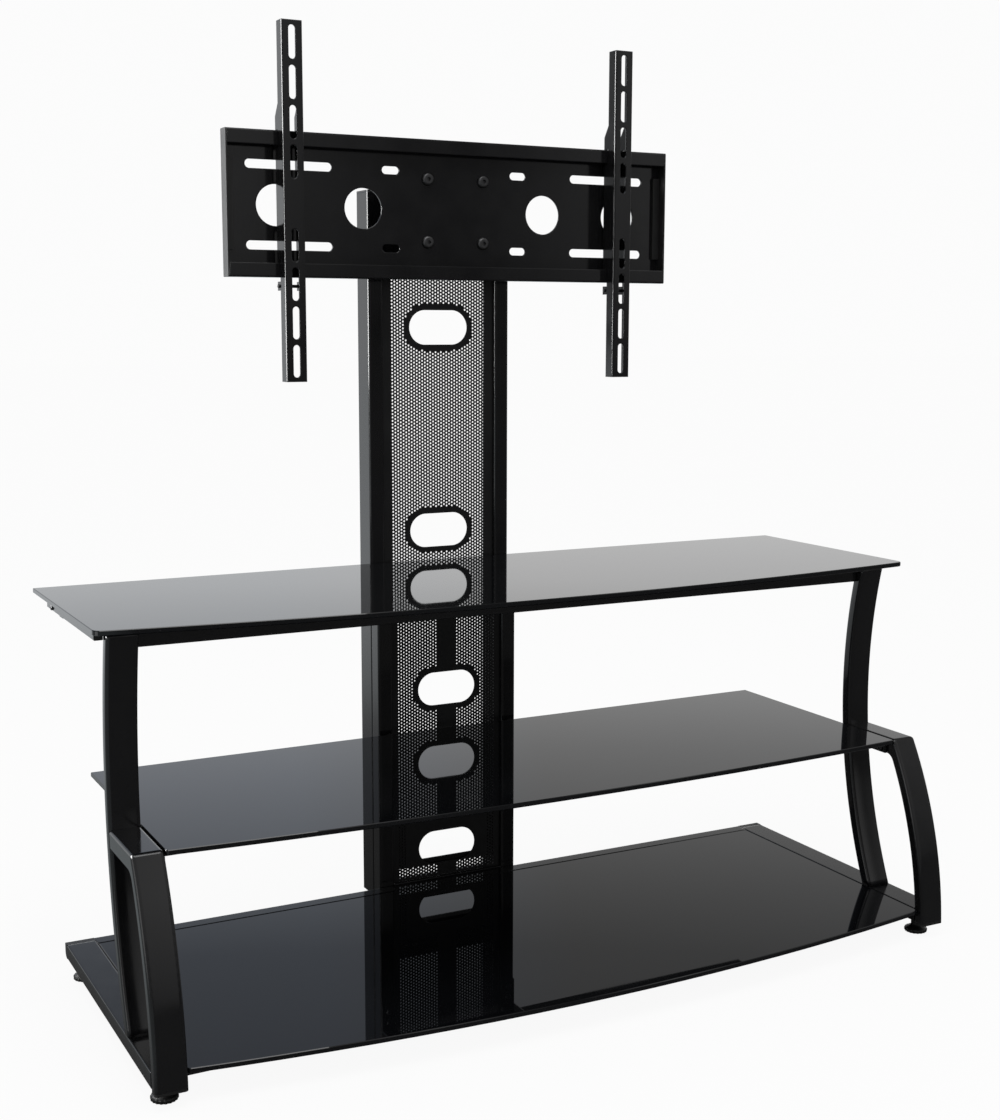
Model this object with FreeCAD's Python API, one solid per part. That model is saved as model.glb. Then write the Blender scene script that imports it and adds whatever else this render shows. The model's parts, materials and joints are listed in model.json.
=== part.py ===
"""Glass-shelf tv stand with a column and a flat-panel mount (mm, +X right, +Y back, +Z up)."""
import math
import os

import FreeCAD
import Part
from FreeCAD import Vector

# Glass shelves
GLASS_T = 6.0
GLASS_ARRIS = 0.8
TOP_GLASS_W = 1100.0
TOP_GLASS_OVERHANG = 17.5
TOP_GLASS_D = 309.0
TOP_GLASS_BOW = 41.0
TOP_CORNER_R = 10.0
MID_GLASS_D = 333.0
MID_GLASS_BOW = 21.5
LOW_GLASS_D = 382.0
LOW_GLASS_BOW = 39.5
SHELF_CORNER_R = 4.0
TOP_LEVEL = 487.0
MID_LEVEL = 257.0
LOW_LEVEL = 39.0
TOP_GLASS_GAP = 1.5
MID_GLASS_GAP = 11.0
GLASS_EDGE_GAP = 1.0
GLASS_SIDE_GAP = 1.0
PAD_T = 2.0
PAD_R = 9.0

# Bent side frames
TUBE_W = 36.0
TUBE_D = 16.0
TUBE_WALL = 2.0
TUBE_EDGE_R = 4.0
UPRIGHT_R = 690.0
UPRIGHT_REACH = 249.0
UPRIGHT_BACK_Z = 313.0
LEG_R = 514.0
LEG_REACH = 411.5
LEG_FRONT_Z = -1.0
LEG_CORNER_R = 6.0
LEG_INNER_R = 15.0
MID_RAIL_H = 22.0
PLUG_LENGTH = 10.0
PLUG_GAP = 0.2
LEG_CAP_T = 3.0

# Base
BASE_RAIL_H = 18.0
BASE_EDGE_R = 1.5
BASE_CAP_D = 10.0
BASE_CAP_R = 8.0
BACK_RAIL_D = 20.5
BEARER_D = 25.0
BEARER_WALL = 1.5
FRONT_BEARER_SETBACK = 370.0
REAR_BEARER_SETBACK = 60.0

# Levelling feet
FOOT_DISC_R = 15.0
FOOT_DISC_T = 5.0
FOOT_DOME_H = 9.0
FOOT_NECK_R = 6.5
FOOT_NECK_GAP = 2.0
FOOT_STUD_L = 16.0
STUD_CLEARANCE = 0.3
FRONT_FOOT_SETBACK = 380.0
REAR_FOOT_SETBACK = 28.0

# Support frame under the top glass
TOP_RAIL_SIZE = 10.0
TOP_RAIL_WALL = 1.5
TOP_RAIL_EDGE_R = 1.0
TOP_RAIL_TAIL = 28.0
TOP_RAIL_CAP_T = 1.5
TOP_RAIL_INSET = 2.0
TOP_STRIP_T = 1.0
APRON_H = 20.0
APRON_D = 12.0
APRON_INSET = 8.5
BEAM_H = 18.0
BEAM_D = 20.0
BEAM_SETBACK = 50.0
BEAM_EDGE_R = 1.5
STRUT_W = 20.0
STRUT_H = 12.0
STRUT_X = 50.0
STRUT_DROP = 2.0
BEAM_NUT_L = 12.0
RAIL_BOLT_DROP = 3.0

# Column
COLUMN_W = 208.0
COLUMN_TOP = 979.0
STILE_W = 21.0
STILE_D = 38.0
STILE_EDGE_R = 2.5
STILE_CAP_T = 2.0
FRONT_FRAME_D = 23.0
FRONT_FRAME_WALL = 2.0
CROSS_H = 20.0
SCREEN_T = 1.0
SCREEN_RECESS = 5.0
SCREEN_EDGE_GAP = 0.2
STILE_LIP_W = 14.0
FRAME_LIP_W = 10.0
LIP_T = 2.0
UPPER_SCREEN_LAP = 16.0
SCREEN_TOP_DROP = 4.0
OVAL_W = 86.0
OVAL_H = 46.0
UPPER_OVALS_Z = (801.5, 526.5)
LOWER_OVALS_Z = (309.0, 83.0)
BACK_PLATE_T = 1.5
BACK_PLATE_Z = (58.0, 150.0)
BACK_WINDOW_X = 52.0
BACK_WINDOW_Z = (67.5, 115.0)
BRACE_SIZE = 16.0
BOTTOM_BRACE_Z = 112.0
MIDDLE_BRACE_Z = 429.0
HEAD_BRACE_H = 80.0
HEAD_BRACE_D = 26.0
HEAD_BRACE_WALL = 3.0
HEAD_BRACE_DROP = 14.0

# Head of the column
HEAD_PLATE_H = 100.0
HEAD_PLATE_T = 4.0
HEAD_BRACKET_W = 110.0
HEAD_BRACKET_H = 120.0
HEAD_BRACKET_D = 47.0
HEAD_BRACKET_WALL = 3.0
HEAD_BOLT_X = 32.0
HEAD_BOLT_Z = 25.0

# Mount plate
PLATE_W = 630.0
PLATE_H = 177.0
PLATE_D = 19.0
PLATE_T = 2.5
PLATE_LIP_T = 2.0
PLATE_LIP_H = 17.6
PLATE_Z = 951.0
PLATE_CAP_T = 2.0
CAP_TONGUE_L = 10.0
CAP_TONGUE_T = 4.0
CAP_TONGUE_H = 110.0
SLOT_ROW_Z = 49.0
LONG_SLOT_X = 229.0
LONG_SLOT_L = 114.0
LONG_SLOT_W = 11.0
SHORT_SLOT_X = 92.0
SHORT_SLOT_L = 24.0
SHORT_SLOT_W = 10.0
ROUND_HOLES_X = (130.0, 247.0)
ROUND_HOLE_R = 25.5
PLATE_BOLT_X = 40.0
PLATE_BOLT_Z = 40.0

# Hook-on arms
ARM_X = 235.0
ARM_W = 27.0
ARM_L = 433.0
ARM_D = 17.2
ARM_FACE_T = 2.5
ARM_WEB_T = 2.0
ARM_EDGE_R = 2.0
ARM_GAP = 0.8
ARM_SEAT_GAP = 0.3
HOOK_REACH = 9.5
HOOK_H = 16.5
HOOK_CHAMFER_H = 15.0
TAB_DROP = 5.0
TAB_H = 11.0
ARM_SLOT_L = 40.0
ARM_SLOT_W = 9.0
ARM_SLOT_PITCH = 47.0
ARM_INNER_SLOT_Z = 50.0
ARM_SLOTS_PER_END = 4
LOCK_PIN_R = 2.0
LOCK_PIN_PROUD = 2.0

# Brackets under the middle glass
BRACKET_T = 3.0
SIDE_BRACKET_L = 60.0
SIDE_BRACKET_W = 30.0
SIDE_BRACKET_SETBACK = 300.0
SIDE_BRACKET_SCREW_Y = 20.0
SIDE_BRACKET_SCREW_DROP = 8.0
SIDE_BRACKET_H = 13.0
REAR_BRACKET_W = 20.0
REAR_BRACKET_L = 50.0
REAR_BRACKET_H = 40.0
REAR_BRACKET_SCREWS = (14.0, 30.0)
REAR_PAD_SETBACK = 30.0

# Fasteners
M8_R = 4.0
M8_HEAD_R = 8.0
M8_HEAD_H = 4.4
M8_SOCKET_AF = 5.0
M8_NUT_AF = 13.0
M8_NUT_H = 6.5
M5_R = 2.5
M5_HEAD_R = 4.25
M5_HEAD_H = 2.8
M5_SOCKET_AF = 3.0
M4_R = 2.0
M4_HEAD_R = 3.5
M4_HEAD_H = 2.2
M4_SOCKET_AF = 2.5
SCREW_L = 8.0
BOLT_GAP = 0.2
BOLT_PROUD = 2.0
SOCKET_SHARE = 0.6
HEAD_ROUND_SHARE = 0.7
BASE_BOLT_X = 45.0

# Pad positions, from the middle or in from the side frames
BEAM_PAD_X = 180.0
BEAM_PAD_INSET = 89.0
APRON_PAD_INSET = 197.0
BEARER_PAD_INSET = 97.0

OVERRUN = 5.0
TOUCH = 1e-3

# Depth chain from the back of the column to the bow of the bottom glass
overall_d = STILE_D + FRONT_FRAME_D + BACK_RAIL_D + GLASS_EDGE_GAP + LOW_GLASS_D + LOW_GLASS_BOW
column_back_y = overall_d / 2
stile_front_y = column_back_y - STILE_D
frame_front_y = stile_front_y - FRONT_FRAME_D
back_rail_front_y = frame_front_y - BACK_RAIL_D
upright_axis_y = frame_front_y - UPRIGHT_REACH - UPRIGHT_R
leg_axis_y = frame_front_y - LEG_REACH + LEG_R

# Shared heights and side planes
base_z = LOW_LEVEL - BASE_RAIL_H
mid_rail_z = MID_LEVEL - MID_RAIL_H
top_frame_z = TOP_LEVEL - GLASS_T - PAD_T
mid_seat_z = MID_LEVEL - GLASS_T - PAD_T
low_seat_z = LOW_LEVEL - GLASS_T - PAD_T
frame_out_x = TOP_GLASS_W / 2 - TOP_GLASS_OVERHANG
frame_in_x = frame_out_x - TUBE_W
shelf_w = 2 * (frame_in_x - GLASS_SIDE_GAP)
stile_out_x = COLUMN_W / 2
stile_in_x = stile_out_x - STILE_W
left_tube_x = (-frame_out_x, -frame_in_x)


def span(centre, size):
    return (centre - size / 2, centre + size / 2)


def shrink(limits, amount):
    return (limits[0] + amount, limits[1] - amount)


def box(x, y, z):
    return Part.makeBox(x[1] - x[0], y[1] - y[0], z[1] - z[0], Vector(x[0], y[0], z[0]))


def rod(radius, start, end):
    return Part.makeCylinder(radius, (end - start).Length, start, end - start)


def mirrored(shape):
    return shape.mirror(Vector(0, 0, 0), Vector(1, 0, 0))


def both_sides(*shapes):
    return Part.makeCompound([side for shape in shapes for side in (shape, mirrored(shape))])


def save(name, shape):
    shape.exportStep(f"parts/{name}.step")


def save_sides(name, left_shape):
    save(f"left_{name}", left_shape)
    save(f"right_{name}", mirrored(left_shape))


def round_edges(shape, radius, wanted):
    return shape.makeFillet(radius, [edge for edge in shape.Edges if wanted(edge)])


def along(axis):
    """Test for straight edges that run along one axis, 'X', 'Y' or 'Z'."""
    across = [name for name in "XYZ" if name != axis]

    def test(edge):
        bounds = edge.BoundBox
        return all(getattr(bounds, f"{name}Length") < TOUCH for name in across)

    return test


def box_tube(x, y, z, wall, axis, edge_r=0.0):
    """Rectangular tube, open at both ends along the axis."""
    outer = box(x, y, z)
    if edge_r:
        outer = round_edges(outer, edge_r, along(axis))
    inner = {name: shrink(limits, wall) for name, limits in zip("XYZ", (x, y, z))}
    inner[axis] = shrink(dict(zip("XYZ", (x, y, z)))[axis], -OVERRUN)
    return outer.cut(box(inner["X"], inner["Y"], inner["Z"]))


def obround_y(x, z, length, width, y, upright=False):
    """Slot with round ends, cut through along Y."""
    reach = (length - width) / 2
    step = Vector(0, 0, reach) if upright else Vector(reach, 0, 0)
    middle = Vector(x, y[0], z)
    depth = Vector(0, y[1] - y[0], 0)
    ends = [rod(width / 2, middle + side * step, middle + side * step + depth) for side in (-1, 1)]
    half = Vector(width / 2, 0, reach) if upright else Vector(reach, 0, width / 2)
    core = box((x - half.x, x + half.x), y, (z - half.z, z + half.z))
    return core.fuse(ends)


def drill_x(radius, y, z, x):
    return rod(radius, Vector(x[0], y, z), Vector(x[1], y, z))


def drill_y(radius, x, z, y):
    return rod(radius, Vector(x, y[0], z), Vector(x, y[1], z))


def hex_prism(across_flats, height):
    reach = across_flats / math.sqrt(3)
    angles = [math.radians(60 * step) for step in range(6)]
    corners = [Vector(reach * math.cos(angle), reach * math.sin(angle), 0) for angle in angles]
    return Part.Face(Part.makePolygon(corners + corners[:1])).extrude(Vector(0, 0, height))


def placed(shape, at, direction):
    """Turn a piece made along +Z so that +Z points in the direction."""
    shape.Placement = FreeCAD.Placement(at, FreeCAD.Rotation(Vector(0, 0, 1), direction))
    return shape


def button_bolt(at, direction, shank_r, shank_l, head_r, head_h, socket_af):
    """Bolt whose head stands on the point and faces the direction."""
    head = Part.makeCylinder(head_r, head_h)
    head = round_edges(head, HEAD_ROUND_SHARE * head_h, lambda edge: edge.BoundBox.ZMin > head_h - TOUCH)
    socket = hex_prism(socket_af, head_h)
    socket.translate(Vector(0, 0, (1 - SOCKET_SHARE) * head_h))
    shank = Part.makeCylinder(shank_r, shank_l, Vector(0, 0, -shank_l))
    return placed(head.cut(socket).fuse(shank), at, direction)


def m8_bolt(at, direction, grip):
    shank_l = grip + M8_NUT_H + BOLT_PROUD
    return button_bolt(at, direction, M8_R, shank_l, M8_HEAD_R, M8_HEAD_H, M8_SOCKET_AF)


def m5_bolt(at, direction, shank_l):
    return button_bolt(at, direction, M5_R, shank_l, M5_HEAD_R, M5_HEAD_H, M5_SOCKET_AF)


def m4_bolt(at, direction, shank_l):
    return button_bolt(at, direction, M4_R, shank_l, M4_HEAD_R, M4_HEAD_H, M4_SOCKET_AF)


def m8_nut(at, direction, clearance):
    nut = hex_prism(M8_NUT_AF, M8_NUT_H)
    return placed(nut.cut(Part.makeCylinder(M8_R + clearance, M8_NUT_H)), at, direction)


def round_pad(x, y, z):
    return Part.makeCylinder(PAD_R, PAD_T, Vector(x, y, z))


def glass_sheet(width, depth, bow, corner_r, back_y, top_z):
    """Glass with a straight back and a bowed front."""
    half = width / 2
    z = top_z - GLASS_T
    corner_y = back_y - depth
    left_back, right_back = Vector(-half, back_y, z), Vector(half, back_y, z)
    left_front, right_front = Vector(-half, corner_y, z), Vector(half, corner_y, z)
    outline = Part.Wire([
        Part.makeLine(left_back, right_back),
        Part.makeLine(right_back, right_front),
        Part.Arc(right_front, Vector(0, corner_y - bow, z), left_front).toShape(),
        Part.makeLine(left_front, left_back),
    ])
    sheet = Part.Face(outline).extrude(Vector(0, 0, GLASS_T))
    upright = along("Z")
    sheet = round_edges(
        sheet, corner_r, lambda edge: upright(edge) and abs(edge.BoundBox.YMin - corner_y) < TOUCH)
    return sheet.makeChamfer(GLASS_ARRIS, [edge for edge in sheet.Edges if edge.BoundBox.ZLength < TOUCH])


# Bent side frames: each piece is a profile in the YZ plane, drawn out along X
def upright_y(radius, z):
    return upright_axis_y + math.sqrt(radius ** 2 - (z - UPRIGHT_BACK_Z) ** 2)


def leg_y(radius, z):
    return leg_axis_y - math.sqrt(radius ** 2 - (z - LEG_FRONT_Z) ** 2)


def arc_edge(curve, radius, z_from, z_to):
    heights = (z_from, (z_from + z_to) / 2, z_to)
    return Part.Arc(*[Vector(0, curve(radius, z), z) for z in heights]).toShape()


def line_edge(y, z_from, z_to):
    return Part.makeLine(Vector(0, y, z_from), Vector(0, y, z_to))


def profile_solid(edges, x):
    """Join the edges end to end with straight lines and draw the profile out along X."""
    outline = []
    for edge, following in zip(edges, edges[1:] + edges[:1]):
        outline += [edge, Part.makeLine(edge.Vertexes[-1].Point, following.Vertexes[0].Point)]
    solid = Part.Face(Part.Wire(outline)).extrude(Vector(x[1] - x[0], 0, 0))
    solid.translate(Vector(x[0], 0, 0))
    return solid


def upright_solid(inset, z, x):
    return profile_solid([
        arc_edge(upright_y, UPRIGHT_R + inset, z[0], z[1]),
        arc_edge(upright_y, UPRIGHT_R + TUBE_D - inset, z[1], z[0]),
    ], x)


def leg_solid(inset, overrun, x):
    """Front leg and shelf rail in one bend, from the foot to the front face of the upright."""
    top, under, foot = MID_LEVEL - inset, mid_rail_z + inset, base_z - overrun
    return profile_solid([
        arc_edge(leg_y, LEG_R - inset, foot, top),
        arc_edge(upright_y, UPRIGHT_R + overrun, top, under),
        arc_edge(leg_y, LEG_R - TUBE_D + inset, under, foot),
    ], x)


def leg_slice(inset, z, x):
    return profile_solid([
        arc_edge(leg_y, LEG_R - inset, z[0], z[1]),
        arc_edge(leg_y, LEG_R - TUBE_D + inset, z[1], z[0]),
    ], x)


def long_side_edge(edge):
    return edge.BoundBox.XLength < TOUCH and edge.Length > TUBE_D + MID_RAIL_H


def corner_at(y, z):
    runs_x = along("X")

    def test(edge):
        middle = edge.CenterOfMass
        return runs_x(edge) and abs(middle.y - y) < TOUCH and abs(middle.z - z) < TOUCH

    return test


cavity_x = shrink(left_tube_x, TUBE_WALL)
plug_x = shrink(cavity_x, PLUG_GAP)
plug_inset = TUBE_WALL + PLUG_GAP


def make_upright():
    outer = upright_solid(0, (LOW_LEVEL, top_frame_z), left_tube_x)
    outer = round_edges(outer, TUBE_EDGE_R, long_side_edge)
    return outer.cut(upright_solid(TUBE_WALL, (LOW_LEVEL - OVERRUN, top_frame_z + OVERRUN), cavity_x))


def make_upright_cap():
    pad_x = shrink(left_tube_x, TUBE_EDGE_R)
    pad = upright_solid(TUBE_EDGE_R, (top_frame_z, top_frame_z + PAD_T), pad_x)
    return pad.fuse(upright_solid(plug_inset, (top_frame_z - PLUG_LENGTH, top_frame_z), plug_x))


def make_leg():
    outer = leg_solid(0, 0, left_tube_x)
    inner_y = leg_y(LEG_R - TUBE_D, mid_rail_z)
    outer = round_edges(outer, LEG_INNER_R, corner_at(inner_y, mid_rail_z))
    outer = round_edges(outer, LEG_CORNER_R, corner_at(leg_y(LEG_R, MID_LEVEL), MID_LEVEL))
    outer = round_edges(outer, TUBE_EDGE_R, long_side_edge)
    leg = outer.cut(leg_solid(TUBE_WALL, OVERRUN, cavity_x))
    return leg.cut(side_drills)


def make_leg_cap():
    sole = leg_slice(0, (base_z - LEG_CAP_T, base_z), left_tube_x)
    sole = round_edges(sole, TUBE_EDGE_R, lambda edge: edge.BoundBox.ZLength > LEG_CAP_T - TOUCH)
    return sole.fuse(leg_slice(plug_inset, (base_z, base_z + PLUG_LENGTH), plug_x))


# Screw positions in the shelf brackets
side_bracket_y = span(frame_front_y - SIDE_BRACKET_SETBACK, SIDE_BRACKET_L)
side_screws_y = shrink(side_bracket_y, (SIDE_BRACKET_L - 2 * SIDE_BRACKET_SCREW_Y) / 2)
side_screw_z = mid_seat_z - SIDE_BRACKET_SCREW_DROP
side_drills = [drill_x(M5_R + BOLT_GAP, y, side_screw_z, span(-frame_in_x, 2 * OVERRUN))
               for y in side_screws_y]
rear_mid_x = -(stile_out_x + stile_in_x) / 2
rear_bracket_x = span(rear_mid_x, REAR_BRACKET_W)
rear_bracket_z = (mid_seat_z - REAR_BRACKET_H, mid_seat_z)
rear_screws_z = [mid_seat_z - drop for drop in REAR_BRACKET_SCREWS]
rear_drills = [drill_y(M5_R + BOLT_GAP, rear_mid_x, z, span(frame_front_y, 2 * OVERRUN))
               for z in rear_screws_z]

# Levelling foot positions
foot_x = -(frame_out_x + frame_in_x) / 2
foot_spots = {
    "front": frame_front_y - FRONT_FOOT_SETBACK,
    "rear": frame_front_y - REAR_FOOT_SETBACK,
}


def make_base_rail():
    rail = profile_solid([
        arc_edge(leg_y, LEG_R - TUBE_D, base_z, LOW_LEVEL),
        line_edge(base_cap_front_y, LOW_LEVEL, base_z),
    ], left_tube_x)
    rail = round_edges(rail, BASE_EDGE_R, along("Y"))
    cavity_y = (frame_front_y - LEG_REACH, base_cap_front_y + OVERRUN)
    rail = rail.cut(box(cavity_x, cavity_y, shrink((base_z, LOW_LEVEL), TUBE_WALL)))
    return rail.cut([
        rod(M8_R + STUD_CLEARANCE, Vector(foot_x, y, base_z - OVERRUN), Vector(foot_x, y, base_z + OVERRUN))
        for y in foot_spots.values()
    ])


def make_base_cap():
    cap = box(left_tube_x, (base_cap_front_y, frame_front_y), (base_z, LOW_LEVEL))
    cap = round_edges(cap, BASE_CAP_R, corner_at(frame_front_y, base_z))
    plug = box(plug_x, (base_cap_front_y - PLUG_LENGTH, base_cap_front_y),
               shrink((base_z, LOW_LEVEL), plug_inset))
    return cap.fuse(plug)


def make_foot(y):
    neck_top = base_z - FOOT_NECK_GAP
    outline = [
        (0, 0), (FOOT_DISC_R, 0), (FOOT_DISC_R, FOOT_DISC_T), (FOOT_NECK_R, FOOT_DOME_H),
        (FOOT_NECK_R, neck_top), (M8_R, neck_top), (M8_R, neck_top + FOOT_STUD_L),
        (0, neck_top + FOOT_STUD_L), (0, 0),
    ]
    section = Part.Face(Part.makePolygon([Vector(radius, 0, z) for radius, z in outline]))
    foot = section.revolve(Vector(0, 0, 0), Vector(0, 0, 1), 360)
    foot.translate(Vector(foot_x, y, 0))
    return foot


# Column stiles: a tube with a lip that carries the screen
def make_stile(y, z, wall, lip_w, lip_z):
    x = (-stile_out_x, -stile_in_x)
    tube = box_tube(x, y, z, wall, "Z", STILE_EDGE_R)
    lip_y = y[0] + SCREEN_RECESS + SCREEN_T
    return tube.fuse(box((-stile_in_x, -stile_in_x + lip_w), (lip_y, lip_y + LIP_T), lip_z))


def make_stile_cap(z):
    x, y = (-stile_out_x, -stile_in_x), (stile_front_y, column_back_y)
    top = round_edges(box(x, y, (z, z + STILE_CAP_T)), STILE_EDGE_R, along("Z"))
    return top.fuse(box(shrink(x, plug_inset), shrink(y, plug_inset), (z - PLUG_LENGTH, z)))


def make_screen(front_y, z, ovals_z, drills=()):
    half = stile_in_x - SCREEN_EDGE_GAP
    sheet = box((-half, half), (front_y, front_y + SCREEN_T), z)
    y = (front_y - OVERRUN, front_y + OVERRUN)
    return sheet.cut([obround_y(0, oval_z, OVAL_W, OVAL_H, y) for oval_z in ovals_z] + list(drills))


def corner_points(x, z_centre, z):
    return [(side * x, z_centre + rise * z) for side in (-1, 1) for rise in (-1, 1)]


def make_mount_plate():
    x = shrink((-PLATE_W / 2, PLATE_W / 2), PLATE_CAP_T)
    y = (plate_back_y - PLATE_D, plate_back_y)
    z = span(PLATE_Z, PLATE_H)
    channel = round_edges(box(x, y, z), PLATE_LIP_T, along("X"))
    channel = channel.cut(box(shrink(x, -OVERRUN), (y[0] + PLATE_LIP_T, y[1] - PLATE_T),
                              shrink(z, PLATE_LIP_T)))
    channel = channel.cut(box(shrink(x, -OVERRUN), (y[0] - OVERRUN, y[0] + 2 * PLATE_LIP_T),
                              shrink(z, PLATE_LIP_H)))
    through = (plate_back_y - PLATE_T - OVERRUN, plate_back_y + OVERRUN)
    cutters = []
    for slot_x, slot_z in corner_points(LONG_SLOT_X, PLATE_Z, SLOT_ROW_Z):
        cutters.append(obround_y(slot_x, slot_z, LONG_SLOT_L, LONG_SLOT_W, through))
    for slot_x, slot_z in corner_points(SHORT_SLOT_X, PLATE_Z, SLOT_ROW_Z):
        cutters.append(obround_y(slot_x, slot_z, SHORT_SLOT_L, SHORT_SLOT_W, through))
    for hole_x in ROUND_HOLES_X:
        cutters += [drill_y(ROUND_HOLE_R, side * hole_x, PLATE_Z, through) for side in (-1, 1)]
    for bolt_x, bolt_z in plate_bolt_points:
        cutters.append(drill_y(M8_R + BOLT_GAP, bolt_x, bolt_z, through))
    return channel.cut(cutters)


def make_plate_cap():
    x = (-PLATE_W / 2, -PLATE_W / 2 + PLATE_CAP_T)
    y = (plate_back_y - PLATE_D, plate_back_y)
    end = round_edges(box(x, y, span(PLATE_Z, PLATE_H)), PLATE_LIP_T, along("X"))
    tongue_back_y = plate_back_y - PLATE_T - PLUG_GAP
    tongue = box((x[1], x[1] + CAP_TONGUE_L), (tongue_back_y - CAP_TONGUE_T, tongue_back_y),
                 span(PLATE_Z, CAP_TONGUE_H))
    return end.fuse(tongue)


def web_outline():
    """Side of an arm from the front edge round the hooks that hold the plate lips."""
    front_y = arm_front_y
    back_y = arm_front_y + ARM_D
    behind_lip_y = plate_front_y + PLATE_LIP_T + ARM_GAP
    hook_y = plate_front_y + HOOK_REACH
    arm_low, arm_high = span(PLATE_Z, ARM_L)
    plate_low, plate_high = span(PLATE_Z, PLATE_H)
    tab_high = plate_low - TAB_DROP
    hook_low = plate_high + ARM_SEAT_GAP
    low_lip, high_lip = plate_low + PLATE_LIP_H + ARM_GAP, plate_high - PLATE_LIP_H - ARM_GAP
    ear_low, ear_high = plate_low + PLATE_LIP_T + ARM_GAP, plate_high - PLATE_LIP_T - ARM_GAP
    return [
        (front_y, arm_low), (back_y, arm_low),
        (back_y, tab_high - TAB_H), (hook_y, tab_high - TAB_H), (hook_y, tab_high), (back_y, tab_high),
        (back_y, low_lip), (behind_lip_y, low_lip), (behind_lip_y, ear_low), (hook_y, ear_low),
        (hook_y, ear_high), (behind_lip_y, ear_high), (behind_lip_y, high_lip), (back_y, high_lip),
        (back_y, hook_low), (hook_y, hook_low), (hook_y, hook_low + HOOK_H),
        (back_y, hook_low + HOOK_H + HOOK_CHAMFER_H), (back_y, arm_high), (front_y, arm_high),
    ]


def make_arm():
    x = span(-ARM_X, ARM_W)
    points = [Vector(0, y, z) for y, z in web_outline()]
    side = Part.Face(Part.makePolygon(points + points[:1])).extrude(Vector(ARM_W, 0, 0))
    side.translate(Vector(x[0], 0, 0))
    side = round_edges(side, ARM_EDGE_R, lambda edge: along("Z")(edge) and edge.Length > ARM_L - TOUCH)
    hollow_y = (arm_front_y + ARM_FACE_T, plate_back_y)
    arm = side.cut(box(shrink(x, ARM_WEB_T), hollow_y, shrink(span(PLATE_Z, ARM_L), -OVERRUN)))
    slots = []
    for step in range(ARM_SLOTS_PER_END):
        rise = ARM_INNER_SLOT_Z + step * ARM_SLOT_PITCH
        for slot_z in (PLATE_Z - rise, PLATE_Z + rise):
            slots.append(obround_y(-ARM_X, slot_z, ARM_SLOT_L, ARM_SLOT_W,
                                   span(arm_front_y, 2 * OVERRUN), upright=True))
    pin_hole = drill_x(LOCK_PIN_R + BOLT_GAP, lock_pin_y, lock_pin_z, shrink(x, -OVERRUN))
    return arm.cut(slots + [pin_hole])


# Mount positions
plate_back_y = stile_front_y + SCREEN_RECESS - HEAD_PLATE_T - HEAD_BRACKET_D
plate_front_y = plate_back_y - PLATE_D
arm_front_y = plate_front_y - ARM_GAP - ARM_D
lock_pin_y = plate_front_y + (HOOK_REACH - ARM_GAP) / 2
lock_pin_z = PLATE_Z - PLATE_H / 2 - TAB_DROP - TAB_H / 2
bracket_back_y = plate_back_y + HEAD_BRACKET_D
screen_y = stile_front_y + SCREEN_RECESS
brace_y = screen_y + SCREEN_T + LIP_T
head_top = COLUMN_TOP - STILE_CAP_T - SCREEN_TOP_DROP
head_brace_z = (head_top - HEAD_BRACE_DROP - HEAD_BRACE_H, head_top - HEAD_BRACE_DROP)
head_bolt_points = corner_points(HEAD_BOLT_X, sum(head_brace_z) / 2, HEAD_BOLT_Z)
plate_bolt_points = corner_points(PLATE_BOLT_X, PLATE_Z, PLATE_BOLT_Z)
base_cap_front_y = frame_front_y - BASE_CAP_D
beam_y = span(frame_front_y - BEAM_SETBACK, BEAM_D)
beam_z = (top_frame_z - BEAM_H, top_frame_z)
apron_z = (top_frame_z - APRON_H, top_frame_z)
apron_front_y = upright_y(UPRIGHT_R, apron_z[0]) + APRON_INSET
apron_y = (apron_front_y, apron_front_y + APRON_D)
between_tubes = (-frame_in_x, frame_in_x)
between_stiles = (-stile_in_x, stile_in_x)
hex_nuts = []

os.makedirs("parts", exist_ok=True)

# Glass
save("top_glass", glass_sheet(
    TOP_GLASS_W, TOP_GLASS_D, TOP_GLASS_BOW, TOP_CORNER_R, stile_front_y - TOP_GLASS_GAP, TOP_LEVEL))
save("middle_glass", glass_sheet(
    shelf_w, MID_GLASS_D, MID_GLASS_BOW, SHELF_CORNER_R, frame_front_y - MID_GLASS_GAP, MID_LEVEL))
save("bottom_glass", glass_sheet(
    shelf_w, LOW_GLASS_D, LOW_GLASS_BOW, SHELF_CORNER_R, back_rail_front_y - GLASS_EDGE_GAP, LOW_LEVEL))

# Side frames
save_sides("upright", make_upright())
save("upright_caps", both_sides(make_upright_cap()))
save_sides("front_leg", make_leg())
save("leg_caps", both_sides(make_leg_cap()))
save_sides("base_rail", make_base_rail())
save("base_rail_caps", both_sides(make_base_cap()))

# Base cross members
base_bolt_z = (base_z + LOW_LEVEL) / 2
back_rail = box_tube(between_tubes, (back_rail_front_y, frame_front_y), (base_z, LOW_LEVEL),
                     TUBE_WALL, "X", BASE_EDGE_R)
base_drills = [drill_y(M8_R + BOLT_GAP, side * BASE_BOLT_X, base_bolt_z,
                       (frame_front_y - OVERRUN, stile_front_y + OVERRUN)) for side in (-1, 1)]
save("base_back_rail", back_rail.cut(base_drills))
bearers = []
for setback in (FRONT_BEARER_SETBACK, REAR_BEARER_SETBACK):
    bearer_y = span(frame_front_y - setback, BEARER_D)
    bearers.append(box_tube(between_tubes, bearer_y, (base_z, low_seat_z), BEARER_WALL, "X"))
save("base_bearers", Part.makeCompound(bearers))
bearer_pad_x = frame_in_x - BEARER_PAD_INSET
save("bottom_pads", Part.makeCompound([
    round_pad(x, frame_front_y - setback, low_seat_z)
    for setback in (FRONT_BEARER_SETBACK, REAR_BEARER_SETBACK) for x in (-bearer_pad_x, 0, bearer_pad_x)
]))

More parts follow.
